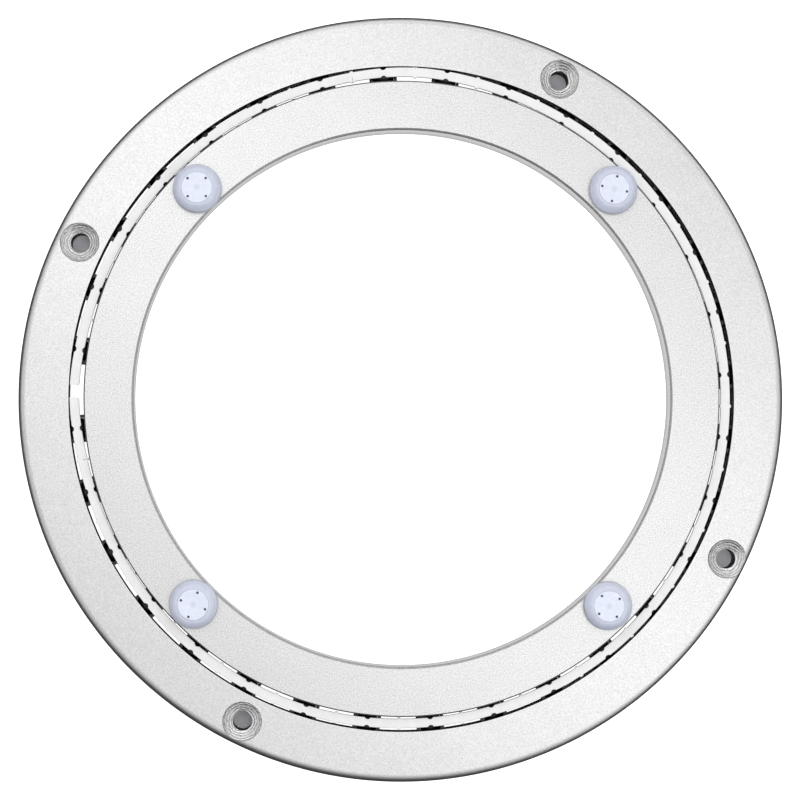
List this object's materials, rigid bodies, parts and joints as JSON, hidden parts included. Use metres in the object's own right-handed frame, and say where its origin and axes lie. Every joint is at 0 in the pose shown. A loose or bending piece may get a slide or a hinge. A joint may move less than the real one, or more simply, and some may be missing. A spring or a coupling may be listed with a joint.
{
  "type": "lazy susan turntable bearing",
  "caption": "Flat ring turntable bearing: outer and inner aluminium rings turn on caged steel balls, with countersunk screw holes and clear stick-on rubber feet.",
  "frame": {"origin": "centre of the outer ring's lower face, the face that a tray fastens to, which is also the lowest plane of the part", "axes": "+Z along the bearing's axis, towards the rubber feet and the countersunk side; in use the part is turned over, so +Z points down at the table; +X lies between the first foot at 44.7 degrees and the fourth at 314.5 degrees"},
  "size_m": [0.2, 0.2, 0.0134],
  "materials": {
    "outer_ring": "fine blasted, clear anodised",
    "inner_ring": "blasted, clear anodised",
    "cage": "moulded natural nylon",
    "balls": "polished bearing steel with a grease film",
    "feet": "clear moulded polyurethane with a lavender tint",
    "adhesive": "clear double-sided adhesive film"
  },
  "bodies": {
    "outer_ring": {"outer_ring": "outer_ring"},
    "inner_ring": {"inner_ring": "inner_ring", "foot_1": "feet", "foot_2": "feet", "foot_3": "feet", "foot_4": "feet", "foot_adhesive_1": "adhesive", "foot_adhesive_2": "adhesive", "foot_adhesive_3": "adhesive", "foot_adhesive_4": "adhesive"},
    "ball_cage": {"ball_cage": "cage"},
    "ball_01": {"ball_01": "balls"},
    "ball_02": {"ball_02": "balls"},
    "ball_03": {"ball_03": "balls"},
    "ball_04": {"ball_04": "balls"},
    "ball_05": {"ball_05": "balls"},
    "ball_06": {"ball_06": "balls"},
    "ball_07": {"ball_07": "balls"},
    "ball_08": {"ball_08": "balls"},
    "ball_09": {"ball_09": "balls"},
    "ball_10": {"ball_10": "balls"},
    "ball_11": {"ball_11": "balls"},
    "ball_12": {"ball_12": "balls"},
    "ball_13": {"ball_13": "balls"},
    "ball_14": {"ball_14": "balls"},
    "ball_15": {"ball_15": "balls"},
    "ball_16": {"ball_16": "balls"},
    "ball_17": {"ball_17": "balls"},
    "ball_18": {"ball_18": "balls"},
    "ball_19": {"ball_19": "balls"},
    "ball_20": {"ball_20": "balls"},
    "ball_21": {"ball_21": "balls"},
    "ball_22": {"ball_22": "balls"},
    "ball_23": {"ball_23": "balls"},
    "ball_24": {"ball_24": "balls"},
    "ball_25": {"ball_25": "balls"},
    "ball_26": {"ball_26": "balls"},
    "ball_27": {"ball_27": "balls"},
    "ball_28": {"ball_28": "balls"},
    "ball_29": {"ball_29": "balls"},
    "ball_30": {"ball_30": "balls"},
    "ball_31": {"ball_31": "balls"},
    "ball_32": {"ball_32": "balls"}
  },
  "joints": [
    {"name": "inner_ring_spin", "type": "hinge", "parent": "outer_ring", "child": "inner_ring", "pos_m": [0, 0, 0.00475], "axis": [0, 0, 1], "continuous": true},
    {"name": "ball_cage_spin", "type": "hinge", "parent": "outer_ring", "child": "ball_cage", "pos_m": [0, 0, 0.00475], "axis": [0, 0, 1], "continuous": true},
    {"name": "ball_01_roll", "type": "hinge", "parent": "ball_cage", "child": "ball_01", "pos_m": [-0.08451, -0.00814, 0.00475], "axis": [0, 0, 1], "continuous": true},
    {"name": "ball_02_roll", "type": "hinge", "parent": "ball_cage", "child": "ball_02", "pos_m": [-0.08133, -0.02435, 0.00475], "axis": [0, 0, 1], "continuous": true},
    {"name": "ball_03_roll", "type": "hinge", "parent": "ball_cage", "child": "ball_03", "pos_m": [-0.07508, -0.03964, 0.00475], "axis": [0, 0, 1], "continuous": true},
    {"name": "ball_04_roll", "type": "hinge", "parent": "ball_cage", "child": "ball_04", "pos_m": [-0.06598, -0.05343, 0.00475], "axis": [0, 0, 1], "continuous": true},
    {"name": "ball_05_roll", "type": "hinge", "parent": "ball_cage", "child": "ball_05", "pos_m": [-0.05439, -0.06519, 0.00475], "axis": [0, 0, 1], "continuous": true},
    {"name": "ball_06_roll", "type": "hinge", "parent": "ball_cage", "child": "ball_06", "pos_m": [-0.04073, -0.07449, 0.00475], "axis": [0, 0, 1], "continuous": true},
    {"name": "ball_07_roll", "type": "hinge", "parent": "ball_cage", "child": "ball_07", "pos_m": [-0.02554, -0.08097, 0.00475], "axis": [0, 0, 1], "continuous": true},
    {"name": "ball_08_roll", "type": "hinge", "parent": "ball_cage", "child": "ball_08", "pos_m": [-0.00937, -0.08438, 0.00475], "axis": [0, 0, 1], "continuous": true},
    {"name": "ball_09_roll", "type": "hinge", "parent": "ball_cage", "child": "ball_09", "pos_m": [0.00715, -0.0846, 0.00475], "axis": [0, 0, 1], "continuous": true},
    {"name": "ball_10_roll", "type": "hinge", "parent": "ball_cage", "child": "ball_10", "pos_m": [0.02339, -0.08161, 0.00475], "axis": [0, 0, 1], "continuous": true},
    {"name": "ball_11_roll", "type": "hinge", "parent": "ball_cage", "child": "ball_11", "pos_m": [0.03875, -0.07554, 0.00475], "axis": [0, 0, 1], "continuous": true},
    {"name": "ball_12_roll", "type": "hinge", "parent": "ball_cage", "child": "ball_12", "pos_m": [0.05265, -0.0666, 0.00475], "axis": [0, 0, 1], "continuous": true},
    {"name": "ball_13_roll", "type": "hinge", "parent": "ball_cage", "child": "ball_13", "pos_m": [0.06455, -0.05515, 0.00475], "axis": [0, 0, 1], "continuous": true},
    {"name": "ball_14_roll", "type": "hinge", "parent": "ball_cage", "child": "ball_14", "pos_m": [0.07401, -0.0416, 0.00475], "axis": [0, 0, 1], "continuous": true},
    {"name": "ball_15_roll", "type": "hinge", "parent": "ball_cage", "child": "ball_15", "pos_m": [0.08066, -0.02648, 0.00475], "axis": [0, 0, 1], "continuous": true},
    {"name": "ball_16_roll", "type": "hinge", "parent": "ball_cage", "child": "ball_16", "pos_m": [0.08427, -0.01036, 0.00475], "axis": [0, 0, 1], "continuous": true},
    {"name": "ball_17_roll", "type": "hinge", "parent": "ball_cage", "child": "ball_17", "pos_m": [0.08468, 0.00615, 0.00475], "axis": [0, 0, 1], "continuous": true},
    {"name": "ball_18_roll", "type": "hinge", "parent": "ball_cage", "child": "ball_18", "pos_m": [0.08188, 0.02243, 0.00475], "axis": [0, 0, 1], "continuous": true},
    {"name": "ball_19_roll", "type": "hinge", "parent": "ball_cage", "child": "ball_19", "pos_m": [0.07599, 0.03787, 0.00475], "axis": [0, 0, 1], "continuous": true},
    {"name": "ball_20_roll", "type": "hinge", "parent": "ball_cage", "child": "ball_20", "pos_m": [0.06722, 0.05186, 0.00475], "axis": [0, 0, 1], "continuous": true},
    {"name": "ball_21_roll", "type": "hinge", "parent": "ball_cage", "child": "ball_21", "pos_m": [0.0559, 0.0639, 0.00475], "axis": [0, 0, 1], "continuous": true},
    {"name": "ball_22_roll", "type": "hinge", "parent": "ball_cage", "child": "ball_22", "pos_m": [0.04247, 0.07352, 0.00475], "axis": [0, 0, 1], "continuous": true},
    {"name": "ball_23_roll", "type": "hinge", "parent": "ball_cage", "child": "ball_23", "pos_m": [0.02743, 0.08035, 0.00475], "axis": [0, 0, 1], "continuous": true},
    {"name": "ball_24_roll", "type": "hinge", "parent": "ball_cage", "child": "ball_24", "pos_m": [0.01135, 0.08414, 0.00475], "axis": [0, 0, 1], "continuous": true},
    {"name": "ball_25_roll", "type": "hinge", "parent": "ball_cage", "child": "ball_25", "pos_m": [-0.00516, 0.08474, 0.00475], "axis": [0, 0, 1], "continuous": true},
    {"name": "ball_26_roll", "type": "hinge", "parent": "ball_cage", "child": "ball_26", "pos_m": [-0.02147, 0.08214, 0.00475], "axis": [0, 0, 1], "continuous": true},
    {"name": "ball_27_roll", "type": "hinge", "parent": "ball_cage", "child": "ball_27", "pos_m": [-0.03697, 0.07643, 0.00475], "axis": [0, 0, 1], "continuous": true},
    {"name": "ball_28_roll", "type": "hinge", "parent": "ball_cage", "child": "ball_28", "pos_m": [-0.05107, 0.06782, 0.00475], "axis": [0, 0, 1], "continuous": true},
    {"name": "ball_29_roll", "type": "hinge", "parent": "ball_cage", "child": "ball_29", "pos_m": [-0.06324, 0.05665, 0.00475], "axis": [0, 0, 1], "continuous": true},
    {"name": "ball_30_roll", "type": "hinge", "parent": "ball_cage", "child": "ball_30", "pos_m": [-0.07301, 0.04333, 0.00475], "axis": [0, 0, 1], "continuous": true},
    {"name": "ball_31_roll", "type": "hinge", "parent": "ball_cage", "child": "ball_31", "pos_m": [-0.08002, 0.02837, 0.00475], "axis": [0, 0, 1], "continuous": true},
    {"name": "ball_32_roll", "type": "hinge", "parent": "ball_cage", "child": "ball_32", "pos_m": [-0.084, 0.01234, 0.00475], "axis": [0, 0, 1], "continuous": true}
  ],
  "couplings": [
    {"joint": "ball_cage_spin", "follows": "inner_ring_spin", "ratio": 0.48658},
    {"joint": "ball_01_roll", "follows": "inner_ring_spin", "ratio": -18.613},
    {"joint": "ball_02_roll", "follows": "inner_ring_spin", "ratio": -18.613},
    {"joint": "ball_03_roll", "follows": "inner_ring_spin", "ratio": -18.613},
    {"joint": "ball_04_roll", "follows": "inner_ring_spin", "ratio": -18.613},
    {"joint": "ball_05_roll", "follows": "inner_ring_spin", "ratio": -18.613},
    {"joint": "ball_06_roll", "follows": "inner_ring_spin", "ratio": -18.613},
    {"joint": "ball_07_roll", "follows": "inner_ring_spin", "ratio": -18.613},
    {"joint": "ball_08_roll", "follows": "inner_ring_spin", "ratio": -18.613},
    {"joint": "ball_09_roll", "follows": "inner_ring_spin", "ratio": -18.613},
    {"joint": "ball_10_roll", "follows": "inner_ring_spin", "ratio": -18.613},
    {"joint": "ball_11_roll", "follows": "inner_ring_spin", "ratio": -18.613},
    {"joint": "ball_12_roll", "follows": "inner_ring_spin", "ratio": -18.613},
    {"joint": "ball_13_roll", "follows": "inner_ring_spin", "ratio": -18.613},
    {"joint": "ball_14_roll", "follows": "inner_ring_spin", "ratio": -18.613},
    {"joint": "ball_15_roll", "follows": "inner_ring_spin", "ratio": -18.613},
    {"joint": "ball_16_roll", "follows": "inner_ring_spin", "ratio": -18.613},
    {"joint": "ball_17_roll", "follows": "inner_ring_spin", "ratio": -18.613},
    {"joint": "ball_18_roll", "follows": "inner_ring_spin", "ratio": -18.613},
    {"joint": "ball_19_roll", "follows": "inner_ring_spin", "ratio": -18.613},
    {"joint": "ball_20_roll", "follows": "inner_ring_spin", "ratio": -18.613},
    {"joint": "ball_21_roll", "follows": "inner_ring_spin", "ratio": -18.613},
    {"joint": "ball_22_roll", "follows": "inner_ring_spin", "ratio": -18.613},
    {"joint": "ball_23_roll", "follows": "inner_ring_spin", "ratio": -18.613},
    {"joint": "ball_24_roll", "follows": "inner_ring_spin", "ratio": -18.613},
    {"joint": "ball_25_roll", "follows": "inner_ring_spin", "ratio": -18.613},
    {"joint": "ball_26_roll", "follows": "inner_ring_spin", "ratio": -18.613},
    {"joint": "ball_27_roll", "follows": "inner_ring_spin", "ratio": -18.613},
    {"joint": "ball_28_roll", "follows": "inner_ring_spin", "ratio": -18.613},
    {"joint": "ball_29_roll", "follows": "inner_ring_spin", "ratio": -18.613},
    {"joint": "ball_30_roll", "follows": "inner_ring_spin", "ratio": -18.613},
    {"joint": "ball_31_roll", "follows": "inner_ring_spin", "ratio": -18.613},
    {"joint": "ball_32_roll", "follows": "inner_ring_spin", "ratio": -18.613}
  ]
}
